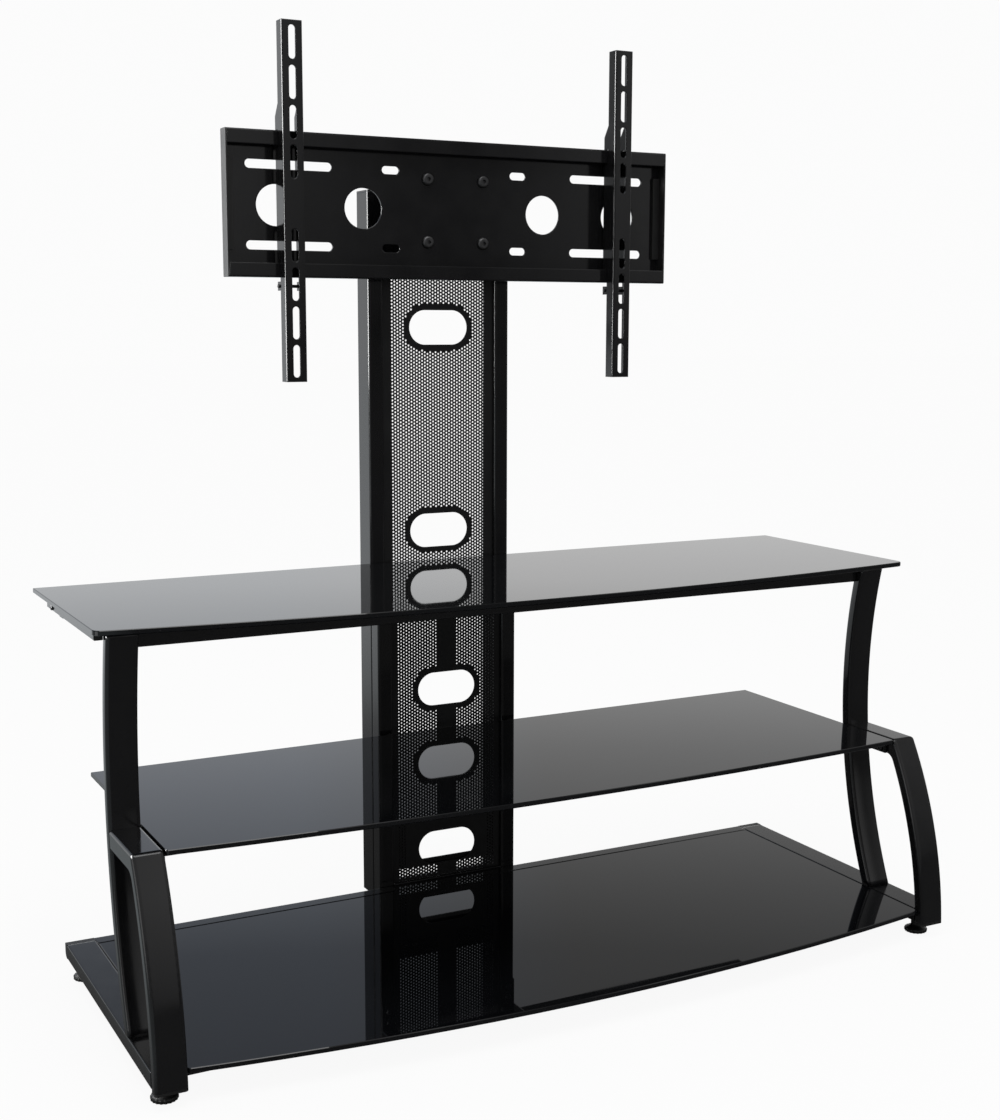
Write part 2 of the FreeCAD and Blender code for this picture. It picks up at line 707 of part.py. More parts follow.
# Levelling feet
for place, foot_y in foot_spots.items():
    foot = make_foot(foot_y)
    save(f"{place}_left_foot", foot)
    save(f"{place}_right_foot", mirrored(foot))
    foot_nut = m8_nut(Vector(foot_x, foot_y, base_z + TUBE_WALL), Vector(0, 0, 1), STUD_CLEARANCE)
    hex_nuts += [foot_nut, mirrored(foot_nut)]

# Frame under the top glass
top_rail_x = (-frame_out_x - TOP_RAIL_SIZE, -frame_out_x)
top_rail_z = (TOP_LEVEL - GLASS_T - TOP_STRIP_T - TOP_RAIL_SIZE, TOP_LEVEL - GLASS_T - TOP_STRIP_T)
beam_mid_y = sum(beam_y) / 2
top_rail_ends = (apron_front_y + TOP_RAIL_INSET, beam_mid_y + TOP_RAIL_TAIL)
top_rail_y = shrink(top_rail_ends, TOP_RAIL_CAP_T)
rail_bolt_z = beam_z[1] - TUBE_WALL - RAIL_BOLT_DROP
top_rail = box_tube(top_rail_x, top_rail_y, top_rail_z, TOP_RAIL_WALL, "Y", TOP_RAIL_EDGE_R)
save_sides("top_rail", top_rail.cut(
    drill_x(M4_R + BOLT_GAP, beam_mid_y, rail_bolt_z, shrink(top_rail_x, -OVERRUN))))
rail_caps = []
for cap_y, inward in ((top_rail_ends[0], 1), (top_rail_ends[1], -1)):
    seat_y = cap_y + inward * TOP_RAIL_CAP_T
    cap = round_edges(box(top_rail_x, sorted((cap_y, seat_y)), top_rail_z), TOP_RAIL_EDGE_R, along("Y"))
    rail_inset = TOP_RAIL_WALL + PLUG_GAP
    rail_caps.append(cap.fuse(box(shrink(top_rail_x, rail_inset),
                                  sorted((seat_y, seat_y + inward * PLUG_LENGTH)),
                                  shrink(top_rail_z, rail_inset))))
save("top_rail_caps", both_sides(*rail_caps))
save("top_rail_strips", both_sides(box(
    shrink(top_rail_x, TOP_RAIL_EDGE_R), top_rail_y, (top_rail_z[1], top_rail_z[1] + TOP_STRIP_T))))
save("top_rail_bolts", both_sides(m4_bolt(
    Vector(top_rail_x[0], beam_mid_y, rail_bolt_z), Vector(-1, 0, 0), TOP_RAIL_SIZE + BEAM_NUT_L)))
beam_nut_x = (-frame_out_x, -frame_out_x + BEAM_NUT_L)
beam_nut = box(beam_nut_x, shrink(beam_y, plug_inset), shrink(beam_z, plug_inset))
save("beam_nuts", both_sides(beam_nut.cut(
    drill_x(M4_R + BOLT_GAP, beam_mid_y, rail_bolt_z, shrink(beam_nut_x, -OVERRUN)))))
save("front_apron", box_tube(between_tubes, apron_y, apron_z, TUBE_WALL, "X", BEAM_EDGE_R))
save("top_rear_beam", box_tube(
    (-frame_out_x, frame_out_x), beam_y, beam_z, TUBE_WALL, "X", BEAM_EDGE_R))
strut_z = (top_frame_z - STRUT_DROP - STRUT_H, top_frame_z - STRUT_DROP)
save("top_struts", both_sides(box(span(-STRUT_X, STRUT_W), (beam_y[1], frame_front_y), strut_z)))
top_pads = [round_pad(APRON_PAD_INSET - frame_in_x, sum(apron_y) / 2, top_frame_z)]
top_pads += [round_pad(x, beam_mid_y, top_frame_z) for x in (-BEAM_PAD_X, BEAM_PAD_INSET - frame_out_x)]
save("top_pads", both_sides(*top_pads))

# Brackets under the middle glass
side_plate = box((-frame_in_x, -frame_in_x + BRACKET_T), side_bracket_y,
                 (mid_seat_z - SIDE_BRACKET_H, mid_seat_z))
side_shelf = box((-frame_in_x, -frame_in_x + SIDE_BRACKET_W), side_bracket_y,
                 (mid_seat_z - BRACKET_T, mid_seat_z))
save("side_shelf_brackets", both_sides(side_plate.fuse(side_shelf).cut(side_drills)))
rear_plate = box(rear_bracket_x, (frame_front_y - BRACKET_T, frame_front_y), rear_bracket_z)
rear_shelf = box(rear_bracket_x, (frame_front_y - REAR_BRACKET_L, frame_front_y),
                 (mid_seat_z - BRACKET_T, mid_seat_z))
save("rear_shelf_brackets", both_sides(rear_plate.fuse(rear_shelf).cut(rear_drills)))
bracket_screws = [m5_bolt(Vector(-frame_in_x + BRACKET_T, y, side_screw_z), Vector(1, 0, 0), SCREW_L)
                  for y in side_screws_y]
bracket_screws += [m5_bolt(Vector(rear_mid_x, frame_front_y - BRACKET_T, z), Vector(0, -1, 0), SCREW_L)
                   for z in rear_screws_z]
save("bracket_screws", both_sides(*bracket_screws))
save("middle_pads", both_sides(
    round_pad(-frame_in_x + SIDE_BRACKET_W / 2, sum(side_bracket_y) / 2, mid_seat_z),
    round_pad(rear_mid_x, frame_front_y - REAR_PAD_SETBACK, mid_seat_z)))

# Column
stile_top = COLUMN_TOP - STILE_CAP_T
stile_z = (base_z, stile_top)
save_sides("stile", make_stile((stile_front_y, column_back_y), stile_z, TUBE_WALL, STILE_LIP_W, stile_z))
save("stile_caps", both_sides(make_stile_cap(stile_top)))
frame_z = (base_z, top_frame_z)
lower_screen_z = (base_z + CROSS_H, top_frame_z - CROSS_H)
front_stile = make_stile(
    (frame_front_y, stile_front_y), frame_z, FRONT_FRAME_WALL, FRAME_LIP_W, lower_screen_z)
save_sides("front_stile", front_stile.cut(rear_drills))
cross_y = (frame_front_y, stile_front_y)
save("frame_top_cross", box_tube(
    between_stiles, cross_y, (lower_screen_z[1], top_frame_z), FRONT_FRAME_WALL, "X"))
bottom_cross = box_tube(between_stiles, cross_y, (base_z, lower_screen_z[0]), FRONT_FRAME_WALL, "X")
save("frame_bottom_cross", bottom_cross.cut(base_drills))
save("lower_screen", make_screen(
    frame_front_y + SCREEN_RECESS, shrink(lower_screen_z, SCREEN_EDGE_GAP), LOWER_OVALS_Z))
back_plate_y = frame_front_y + SCREEN_RECESS + SCREEN_T + LIP_T
back_plate = box(shrink(between_stiles, SCREEN_EDGE_GAP), (back_plate_y, back_plate_y + BACK_PLATE_T),
                 BACK_PLATE_Z)
save("lower_back_plate", back_plate.cut(box(
    (-BACK_WINDOW_X, BACK_WINDOW_X), span(back_plate_y, 2 * OVERRUN), BACK_WINDOW_Z)))
head_drill_y = (bracket_back_y - OVERRUN, brace_y + HEAD_BRACE_WALL + OVERRUN)
head_drills = [drill_y(M8_R + BOLT_GAP, x, z, head_drill_y) for x, z in head_bolt_points]
upper_screen_z = (lower_screen_z[1] - UPPER_SCREEN_LAP, head_top)
save("upper_screen", make_screen(screen_y, upper_screen_z, UPPER_OVALS_Z, head_drills))
for name, brace_z in (("bottom_brace", BOTTOM_BRACE_Z), ("middle_brace", MIDDLE_BRACE_Z)):
    save(name, box_tube(between_stiles, (brace_y, brace_y + BRACE_SIZE),
                        (brace_z, brace_z + BRACE_SIZE), TUBE_WALL, "X"))
head_brace = box_tube(between_stiles, (brace_y, brace_y + HEAD_BRACE_D), head_brace_z, HEAD_BRACE_WALL, "X")
save("head_brace", head_brace.cut(head_drills))

# Head of the column
head_plate = box(shrink(between_stiles, SCREEN_EDGE_GAP), (bracket_back_y, screen_y),
                 (head_top - HEAD_PLATE_H, head_top))
save("head_plate", head_plate.cut(head_drills))
head_bracket = box_tube(span(0, HEAD_BRACKET_W), (plate_back_y, bracket_back_y),
                        span(PLATE_Z, HEAD_BRACKET_H), HEAD_BRACKET_WALL, "Z")
plate_drills = [drill_y(M8_R + BOLT_GAP, x, z, span(plate_back_y, 2 * OVERRUN))
                for x, z in plate_bolt_points]
save("head_bracket", head_bracket.cut(head_drills + plate_drills))
head_grip = brace_y + HEAD_BRACE_WALL - bracket_back_y + HEAD_BRACKET_WALL
head_seat_y = bracket_back_y - HEAD_BRACKET_WALL
save("head_bolts", Part.makeCompound(
    [m8_bolt(Vector(x, head_seat_y, z), Vector(0, -1, 0), head_grip) for x, z in head_bolt_points]))
hex_nuts += [m8_nut(Vector(x, brace_y + HEAD_BRACE_WALL, z), Vector(0, 1, 0), BOLT_GAP)
             for x, z in head_bolt_points]

# Mount plate
save("mount_plate", make_mount_plate())
save("plate_end_caps", both_sides(make_plate_cap()))
plate_seat_y = plate_back_y - PLATE_T
save("plate_bolts", Part.makeCompound([
    m8_bolt(Vector(x, plate_seat_y, z), Vector(0, -1, 0), PLATE_T + HEAD_BRACKET_WALL)
    for x, z in plate_bolt_points
]))
hex_nuts += [m8_nut(Vector(x, plate_back_y + HEAD_BRACKET_WALL, z), Vector(0, 1, 0), BOLT_GAP)
             for x, z in plate_bolt_points]

# Hook-on arms
save_sides("arm", make_arm())
pin_x = shrink(span(-ARM_X, ARM_W), -LOCK_PIN_PROUD)
save_sides("lock_pin", drill_x(LOCK_PIN_R, lock_pin_y, lock_pin_z, pin_x))

# Bolts between the column and the base
base_grip = FRONT_FRAME_D + TUBE_WALL
save("base_bolts", both_sides(
    m8_bolt(Vector(-BASE_BOLT_X, stile_front_y, base_bolt_z), Vector(0, 1, 0), base_grip)))
base_nut = m8_nut(Vector(-BASE_BOLT_X, frame_front_y - TUBE_WALL, base_bolt_z), Vector(0, -1, 0), BOLT_GAP)
hex_nuts += [base_nut, mirrored(base_nut)]
save("hex_nuts", Part.makeCompound(hex_nuts))
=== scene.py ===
import json
import math

import bmesh
import bpy
from mathutils import Matrix, Vector
from mathutils.geometry import delaunay_2d_cdt


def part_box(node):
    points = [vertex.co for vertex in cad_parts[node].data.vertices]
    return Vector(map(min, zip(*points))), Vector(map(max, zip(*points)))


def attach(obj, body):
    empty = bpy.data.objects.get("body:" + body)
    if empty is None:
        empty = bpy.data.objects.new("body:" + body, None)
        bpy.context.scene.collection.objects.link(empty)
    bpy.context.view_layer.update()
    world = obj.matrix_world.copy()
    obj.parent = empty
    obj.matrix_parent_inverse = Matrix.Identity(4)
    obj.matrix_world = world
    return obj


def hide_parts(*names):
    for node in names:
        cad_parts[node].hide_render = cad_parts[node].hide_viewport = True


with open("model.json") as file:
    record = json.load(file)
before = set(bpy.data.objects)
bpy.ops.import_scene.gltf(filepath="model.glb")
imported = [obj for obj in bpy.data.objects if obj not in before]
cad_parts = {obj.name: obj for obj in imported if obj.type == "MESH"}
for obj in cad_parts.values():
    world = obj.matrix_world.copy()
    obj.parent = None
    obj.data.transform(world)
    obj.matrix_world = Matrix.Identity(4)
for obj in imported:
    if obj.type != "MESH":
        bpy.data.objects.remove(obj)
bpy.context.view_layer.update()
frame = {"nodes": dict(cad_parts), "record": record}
nodes = frame["nodes"]
node_slots = {entry["node"]: entry["material_slot"] for entry in frame["record"]["subparts"]}

# Image and camera; lengths are in metres unless a name says otherwise
IMAGE_W, IMAGE_H = 1000, 1120
FOCAL_PX = 1595.3
SENSOR_MM = 36.0
CAMERA_AT = Vector((-0.9326, -1.74895, 0.8069))
CAMERA_RIGHT = Vector((0.88661, -0.46251, 0.00236))
CAMERA_FORWARD = Vector((0.45782, 0.87687, -0.14663))
CAMERA_REACH = 100.0

# Perforated screens: half widths of the fields of holes, the ovals, and the lower screen's plain places
HOLE_PITCH_Z = 0.00455
HOLE_STEP_X = 0.004
HOLE_SIDES = 8
UPPER_HOLE_R = 0.00142
LOWER_HOLE_R = 0.00108
UPPER_FIELD_X = 0.071
LOWER_FIELD_X = 0.075
FIELD_END_MARGIN = 0.003
OVAL_W = 0.086
OVAL_H = 0.046
OVAL_RIM = 0.008
OVAL_STEPS = 24
UPPER_OVALS_Z = (0.8015, 0.5265)
LOWER_OVALS_Z = (0.309, 0.083)
NO_STRIP_X = -1.0
LOWER_STRIP_X = 0.014
HOLELESS_BAND_X = 0.064
HOLELESS_BAND_Z = (0.058, 0.123)
KEY_DIGITS = 7
WELD_TOLERANCE = 1e-7
FILL_WITH_TRIANGLES = 0

# Leaning uprights: an arc of rounded tube, in the side view
UPRIGHT_R = 0.69
UPRIGHT_BACK_Z = 0.313
UPRIGHT_EDGE_R = 0.004
UPRIGHT_D = 0.016
UPRIGHT_SLICES = 60
QUAD_CORNERS = 4
EDGE_STEPS = 8

# Levelling feet; the shares are of the rounding of the rim
FOOT_RIBS = 18
FOOT_RIB_DEPTH = 0.0008
FOOT_SIDES_PER_RIB = 6
FOOT_RIM_H = 0.005
FOOT_RIM_ROUND = 0.0012
FOOT_DOME_H = 0.009
FOOT_NECK_R = 0.0065
FOOT_NECK_TOP = 0.019
FOOT_STUD_R = 0.004
SOLE_INSET_SHARE = 2
ROUND_MIDDLE_SHARE = 0.3
SHOULDER_INSET_SHARE = 1.5
SHOULDER_RISE_SHARE = 1.2

# Noise on the surfaces: scales are per metre, and looks change between a noise's low and high value
NOISE_DETAIL = 3.0
NOISE_LOW, NOISE_HIGH = 0.3, 0.7
SMUDGE_SCALE, SMUDGE_DETAIL = 7.0, 4.0
DUST_SCALE, DUST_DETAIL = 900.0, 1.0
DUST_LOW, DUST_HIGH = 0.72, 0.82
CLOUD_SCALE = 30.0
GRAIN_SCALE = 400.0
PEEL_DETAIL = 2.0
PEEL_DEPTH = 0.0002

# Radius over which the light is smoothed on the edges of tubes and of folded sheet
TUBE_EDGE = 0.0025
MOUNT_EDGE = 0.0016
EDGE_SAMPLES = 8

# Looks: colours and roughness go from a first to a second value with the noise
GLASS_COLOUR = (0.003, 0.0033, 0.004)
DUST_COLOUR = (0.05, 0.05, 0.05)
GLASS_ROUGHNESS = (0.012, 0.035)
GLASS_IOR = 1.5
PAINTS = {
    "gloss_black": {
        "colours": ((0.004, 0.004, 0.0045), (0.006, 0.006, 0.0065)), "roughness": (0.09, 0.15),
        "ior": 1.5, "peel_scale": 600.0, "peel": 0.02, "edge_radius": TUBE_EDGE},
    "black_screen": {
        "colours": ((0.006, 0.006, 0.0065), (0.010, 0.010, 0.0105)), "roughness": (0.28, 0.38),
        "ior": 1.4, "peel_scale": 900.0, "peel": 0.03},
    "mount_black": {
        "colours": ((0.004, 0.004, 0.0045), (0.006, 0.006, 0.0065)), "roughness": (0.10, 0.16),
        "ior": 1.5, "peel_scale": 700.0, "peel": 0.03, "edge_radius": MOUNT_EDGE},
    "black_plastic": {
        "colours": ((0.006, 0.006, 0.006), (0.010, 0.010, 0.010)), "roughness": (0.36, 0.48),
        "ior": 1.5, "peel_scale": 1500.0, "peel": 0.08},
    "black_rubber": {
        "colours": ((0.008, 0.008, 0.008), (0.013, 0.013, 0.013)), "roughness": (0.6, 0.75),
        "ior": 1.45, "peel_scale": 1200.0, "peel": 0.1},
}
METALS = {
    "black_bolts": {"colours": ((0.07, 0.07, 0.072), (0.11, 0.11, 0.113)), "roughness": (0.4, 0.5)},
    "zinc_steel": {"colours": ((0.5, 0.51, 0.53), (0.6, 0.6, 0.6)), "roughness": (0.3, 0.45)},
}

# Floor: white to the camera, and greys by depth as reflections see it; the greys are painted shade, dark
# near the stand and grey beside it
WHITE = (1.0, 1.0, 1.0)
FLOOR_SIZE = 30.0
FLOOR_COLOUR = (0.9, 0.9, 0.9)
FLOOR_GLOW_SHARE = 0.93
# Painted shade on the floor round the stand, as reflections see it
FLOOR_NEAR = (0.06, 0.06, 0.06)
FLOOR_SIDE = (0.28, 0.31, 0.32)
FLOOR_FAR = (0.93, 0.97, 1.0)
FLOOR_NEAR_Y = 0.7
FLOOR_FAR_Y = 2.4
FLOOR_SIDE_FROM_X = -0.54
FLOOR_SIDE_TO_X = -0.64

# Studio as reflections see it: levels by the height of a ray, tints and strips from left to right
BACKGROUND = (0.97, 0.97, 0.97)
AMBIENT = (0.6, 0.6, 0.6)
COOL_BACKDROP = (
    (0.16, (0.95, 0.975, 1.0)), (0.28, (0.6, 0.64, 0.71)), (0.335, (0.46, 0.5, 0.565)),
    (0.375, (0.3, 0.33, 0.385)), (0.6, (0.22, 0.24, 0.28)))
NEUTRAL_BACKDROP = ((0.16, 0.97), (0.26, 0.58), (0.335, 0.38), (0.375, 0.28), (0.6, 0.2))
COOL_X = 0.33
NEUTRAL_X = 0.47
BACKDROP_END_X = -0.52
BACKDROP_FULL_X = -0.45
BACKDROP_END_LEVEL = 0.2
ROOM_LEVELS = ((0.0, 0.14), (0.03, 0.28), (0.48, 0.62))
ROOM_STRIPS = (
    (0.2, 0.8), (0.3, 1.45), (0.39, 0.4), (0.45, 0.2), (0.5, 0.9), (0.56, 1.7), (0.62, 0.4), (0.68, 0.8))
SIDE_BLEND = 0.15

# Lamps; those that only reflections show are left out of deeper reflections, where they would sparkle
DEEPER_REFLECTION = 2.5
SOFTBOXES = {
    "left_softbox": {
        "at": (-2.2, -0.55, 0.5), "aim": (-0.4, -0.1, 0.5), "width": 1.2, "height": 0.9, "watts": 4.5,
        "reflected_only": True},
    "high_left_softbox": {
        "at": (-2.0, 0.7, 1.23), "aim": (0.0, 0.0, 1.18), "width": 1.6, "height": 1.14, "watts": 140.0,
        "reflected_only": True},
    "top_softbox": {
        "at": (-0.4, -0.8, 2.6), "aim": (0.0, 0.0, 0.4), "width": 1.6, "height": 1.2, "watts": 20.0,
        "reflected_only": False},
}

# Sockets of a colour mix node
MIX_FIRST, MIX_SECOND, MIX_RESULT = 6, 7, 2


# Shader nodes
def add_noise(tree, scale, detail=NOISE_DETAIL):
    """Noise in the object's own space, so that it keeps its scale on every piece."""
    coordinates = tree.nodes.new("ShaderNodeTexCoord")
    noise = tree.nodes.new("ShaderNodeTexNoise")
    noise.inputs["Scale"].default_value = scale
    noise.inputs["Detail"].default_value = detail
    tree.links.new(coordinates.outputs["Object"], noise.inputs["Vector"])
    return noise.outputs["Fac"]


def add_range(tree, source, low, high, start=NOISE_LOW, end=NOISE_HIGH):
    """Low up to the start of the source's range, high from its end, and even steps between."""
    scaled = tree.nodes.new("ShaderNodeMapRange")
    scaled.inputs["From Min"].default_value = start
    scaled.inputs["From Max"].default_value = end
    scaled.inputs["To Min"].default_value = low
    scaled.inputs["To Max"].default_value = high
    tree.links.new(source, scaled.inputs["Value"])
    return scaled.outputs["Result"]


def add_mix(tree, factor, first, second):
    """Colour mix; each side is a socket or a colour."""
    mix = tree.nodes.new("ShaderNodeMix")
    mix.data_type = "RGBA"
    tree.links.new(factor, mix.inputs["Factor"])
    for socket, value in ((mix.inputs[MIX_FIRST], first), (mix.inputs[MIX_SECOND], second)):
        if isinstance(value, tuple):
            socket.default_value = (*value, 1.0)
        else:
            tree.links.new(value, socket)
    return mix.outputs[MIX_RESULT]


def add_math(tree, operation, first, second):
    """One operation on two sockets, or on a socket and a number."""
    node = tree.nodes.new("ShaderNodeMath")
    node.operation = operation
    tree.links.new(first, node.inputs[0])
    if isinstance(second, float):
        node.inputs[1].default_value = second
    else:
        tree.links.new(second, node.inputs[1])
    return node.outputs[0]


def add_product(tree, first, second):
    """Two colours multiplied."""
    product = tree.nodes.new("ShaderNodeVectorMath")
    product.operation = "MULTIPLY"
    tree.links.new(first, product.inputs[0])
    tree.links.new(second, product.inputs[1])
    return product.outputs["Vector"]


def add_ramp(tree, source, stops):
    """Colours by position along a line from 0 to 1."""
    ramp = tree.nodes.new("ShaderNodeValToRGB")
    elements = ramp.color_ramp.elements
    while len(elements) < len(stops):
        elements.new(1.0)
    for element, (position, colour) in zip(elements, stops):
        element.position = position
        element.color = (*colour, 1.0)
    tree.links.new(source, ramp.inputs["Fac"])
    return ramp.outputs["Color"]


def greys(levels):
    """Stops of a ramp from positions and grey levels."""
    return [(position, (level, level, level)) for position, level in levels]


def add_axes(tree, source):
    """X, Y and Z of a place or a direction."""
    split = tree.nodes.new("ShaderNodeSeparateXYZ")
    tree.links.new(source, split.inputs[0])
    return split.outputs


def add_bump(tree, shader, height, strength, distance, edge_radius):
    """Fine relief; an edge radius also smooths the light over rounded edges."""
    bump = tree.nodes.new("ShaderNodeBump")
    bump.inputs["Strength"].default_value = strength
    bump.inputs["Distance"].default_value = distance
    tree.links.new(height, bump.inputs["Height"])
    tree.links.new(bump.outputs["Normal"], shader.inputs["Normal"])
    if edge_radius:
        edge = tree.nodes.new("ShaderNodeBevel")
        edge.samples = EDGE_SAMPLES
        edge.inputs["Radius"].default_value = edge_radius
        tree.links.new(edge.outputs["Normal"], bump.inputs["Normal"])


# Materials
def new_material(name):
    material = bpy.data.materials.new(name)
    material.use_nodes = True
    return material, material.node_tree, material.node_tree.nodes["Principled BSDF"]


def glass_material(name):
    """Opaque black glass with faint smudges and dust."""
    material, tree, shader = new_material(name)
    smudges = add_noise(tree, SMUDGE_SCALE, SMUDGE_DETAIL)
    dust = add_noise(tree, DUST_SCALE, DUST_DETAIL)
    specks = add_range(tree, dust, 0.0, 1.0, DUST_LOW, DUST_HIGH)
    tree.links.new(add_range(tree, smudges, *GLASS_ROUGHNESS), shader.inputs["Roughness"])
    tree.links.new(add_mix(tree, specks, GLASS_COLOUR, DUST_COLOUR), shader.inputs["Base Color"])
    shader.inputs["IOR"].default_value = GLASS_IOR
    return material


def paint_material(name, colours, roughness, ior, peel_scale, peel, edge_radius=0.0):
    """Black paint, plastic or rubber with orange peel and an uneven sheen."""
    material, tree, shader = new_material(name)
    clouds = add_noise(tree, CLOUD_SCALE)
    peel_height = add_noise(tree, peel_scale, PEEL_DETAIL)
    tree.links.new(add_range(tree, clouds, *roughness), shader.inputs["Roughness"])
    tree.links.new(add_mix(tree, clouds, *colours), shader.inputs["Base Color"])
    add_bump(tree, shader, peel_height, peel, PEEL_DEPTH, edge_radius)
    shader.inputs["IOR"].default_value = ior
    return material


def metal_material(name, colours, roughness):
    """Plated metal with a fine grain."""
    material, tree, shader = new_material(name)
    grain = add_noise(tree, GRAIN_SCALE)
    shader.inputs["Metallic"].default_value = 1.0
    tree.links.new(add_range(tree, grain, *roughness), shader.inputs["Roughness"])
    tree.links.new(add_mix(tree, grain, *colours), shader.inputs["Base Color"])
    return material


materials = {"black_glass": glass_material("black_glass")}
for slot_name, look in PAINTS.items():
    materials[slot_name] = paint_material(slot_name, **look)
for slot_name, look in METALS.items():
    materials[slot_name] = metal_material(slot_name, **look)


# Pieces
def paint(obj, slot_name):
    obj.data.materials.clear()
    obj.data.materials.append(materials[slot_name])


def piece_from(builder, name, body, slot_name, node):
    """Turn a bmesh into a piece that rides on a body and stands for a CAD node."""
    mesh = bpy.data.meshes.new(name)
    builder.to_mesh(mesh)
    builder.free()
    piece = bpy.data.objects.new(name, mesh)
    bpy.context.scene.collection.objects.link(piece)
    paint(piece, slot_name)
    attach(piece, body)
    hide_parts(node)
    return piece


for node, slot_name in node_slots.items():
    paint(nodes[node], slot_name)


# Perforated screens
def inside_oval(x, z, oval_z, grow):
    reach = (OVAL_W - OVAL_H) / 2
    return math.hypot(max(abs(x) - reach, 0.0), z - oval_z) < OVAL_H / 2 + grow


def in_rim(x, z, ovals_z):
    """Round an oval, or in the band round the lowest oval that is left without holes, so that the sheet
    shows dark there.
    """
    if z < HOLELESS_BAND_Z[1]:
        return z > HOLELESS_BAND_Z[0] and abs(x) < HOLELESS_BAND_X
    return any(inside_oval(x, z, oval_z, OVAL_RIM) for oval_z in ovals_z)


def hole_centre(column, row, low):
    """Centre of a hole; every second column is half a pitch higher."""
    return column * HOLE_STEP_X, low + (row + (column % 2) / 2) * HOLE_PITCH_Z


def pattern_holes(low, high, field_x, ovals_z, strip_x):
    """Lattice places (column, row) and centres of the holes inside the perforated field."""
    holes = {}
    columns = int(field_x / HOLE_STEP_X)
    rows = int((high - low) / HOLE_PITCH_Z) + 1
    for column in range(-columns, columns + 1):
        for row in range(rows):
            x, z = hole_centre(column, row, low)
            in_field = low + FIELD_END_MARGIN < z < high - FIELD_END_MARGIN and abs(x) > strip_x
            if in_field and not in_rim(x, z, ovals_z):
                holes[column, row] = (x, z)
    return holes


def nearest_place(x, z, low):
    """Lattice place whose centre lies nearest to a point."""
    column = round(x / HOLE_STEP_X)
    places = []
    for near_column in (column - 1, column, column + 1):
        row = round((z - low) / HOLE_PITCH_Z - (near_column % 2) / 2)
        places.append((near_column, row))
    return min(places, key=lambda place: math.dist((x, z), hole_centre(*place, low)))


def hex_cell(x, z):
    """Corners of the cell round one hole of the staggered pattern."""
    quarter = HOLE_PITCH_Z ** 2 / 4
    long_x = (HOLE_STEP_X ** 2 + quarter) / (2 * HOLE_STEP_X)
    short_x = (HOLE_STEP_X ** 2 - quarter) / (2 * HOLE_STEP_X)
    half_z = HOLE_PITCH_Z / 2
    offsets = [(long_x, 0), (short_x, half_z), (-short_x, half_z),
               (-long_x, 0), (-short_x, -half_z), (short_x, -half_z)]
    return [(x + dx, z + dz) for dx, dz in offsets]


def hole_ring(x, z, radius):
    angles = [2 * math.pi * step / HOLE_SIDES for step in range(HOLE_SIDES)]
    return [(x + radius * math.cos(angle), z + radius * math.sin(angle)) for angle in angles]


def oval_ring(oval_z):
    reach, radius = (OVAL_W - OVAL_H) / 2, OVAL_H / 2
    ring = []
    for step in range(2 * OVAL_STEPS):
        angle = math.pi * (step + 0.5) / OVAL_STEPS
        centre = math.copysign(reach, math.cos(angle))
        ring.append((centre + radius * math.cos(angle), oval_z + radius * math.sin(angle)))
    return ring


def place_key(x, z):
    """Key under which points that fall together are one."""
    return round(x, KEY_DIGITS), round(z, KEY_DIGITS)


def join_loops(loops):
    """Points of closed loops, and the edges between them, each listed once."""
    points, point_ids, edges = [], {}, []
    for loop in loops:
        ids = []
        for x, z in loop:
            key = place_key(x, z)
            if key not in point_ids:
                point_ids[key] = len(points)
                points.append(Vector((x, z)))
            ids.append(point_ids[key])
        edges.extend(zip(ids, ids[1:] + ids[:1]))
    return points, list({tuple(sorted(edge)) for edge in edges})


def fill_ring(builder, outer, inner):
    """Triangles between a six-sided cell and the ring of its hole, by the nearer angle."""
    steps_out, steps_in = len(outer), len(inner)
    at_out, at_in = 0, 0
    while at_out < steps_out or at_in < steps_in:
        share_out, share_in = (at_out + 0.5) / steps_out, (at_in + 0.5) / steps_in
        a, b = outer[at_out % steps_out], inner[at_in % steps_in]
        if at_in == steps_in or (at_out < steps_out and share_out <= share_in):
            builder.faces.new([a, outer[(at_out + 1) % steps_out], b])
            at_out += 1
        else:
            builder.faces.new([a, inner[(at_in + 1) % steps_in], b])
            at_in += 1


def thicken(builder, depth):
    """Give a flat sheet its thickness, towards the back."""
    bmesh.ops.recalc_face_normals(builder, faces=builder.faces)
    front = list(builder.faces)
    back = bmesh.ops.extrude_face_region(builder, geom=front, use_keep_orig=True)
    moved = [item for item in back["geom"] if isinstance(item, bmesh.types.BMVert)]
    bmesh.ops.translate(builder, verts=moved, vec=(0, depth, 0))
    bmesh.ops.recalc_face_normals(builder, faces=builder.faces)


